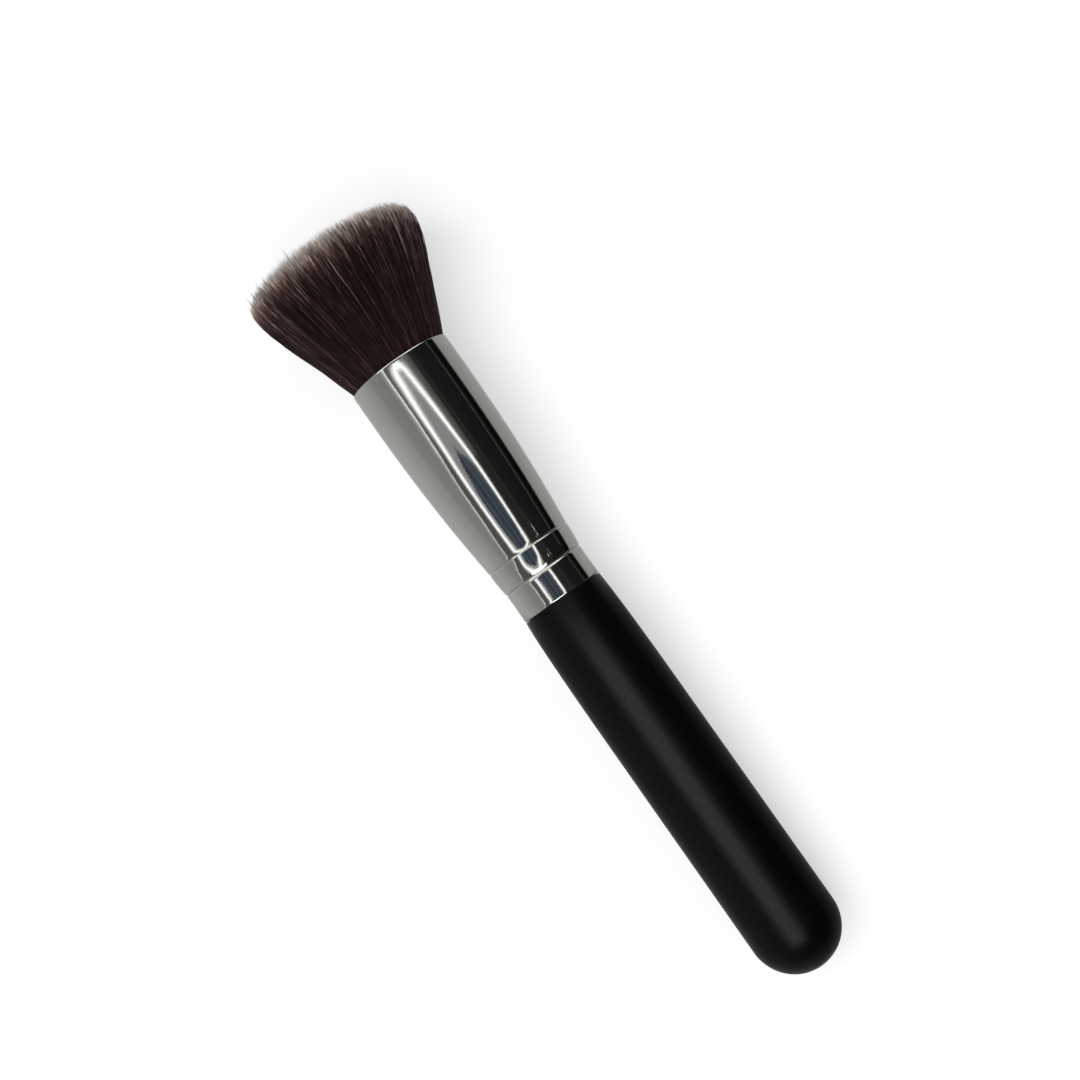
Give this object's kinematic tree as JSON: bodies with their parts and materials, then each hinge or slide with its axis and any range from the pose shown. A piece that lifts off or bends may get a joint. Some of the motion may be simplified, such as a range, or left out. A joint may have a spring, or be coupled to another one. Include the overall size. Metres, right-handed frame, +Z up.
{
  "type": "blush brush",
  "caption": "Flat-topped cosmetic brush: a dense flared tuft of brown filaments in a tapered bright metal ferrule on a round satin black handle with a domed end.",
  "frame": {"origin": "middle of the footprint of the brush's bounding box, on the table it lies on", "axes": "+X towards the tuft, along the brush; +Z up from the table; +Y across the brush"},
  "size_m": [0.171, 0.038, 0.0375],
  "materials": {
    "handle_lacquer": "satin black lacquer sprayed over turned wood",
    "ferrule_plating": "polished mirror plating over a drawn tube",
    "bristle_filament": "fine tapered synthetic filament, dark brown with paler tips",
    "binding_thread": "plain twisted thread",
    "set_glue": "cured amber resin"
  },
  "bodies": {
    "root": {"handle": "handle_lacquer", "ferrule": "ferrule_plating", "bristle_bundle": "bristle_filament", "root_binding": "binding_thread", "root_glue": "set_glue", "tenon_glue": "set_glue"}
  },
  "joints": []
}
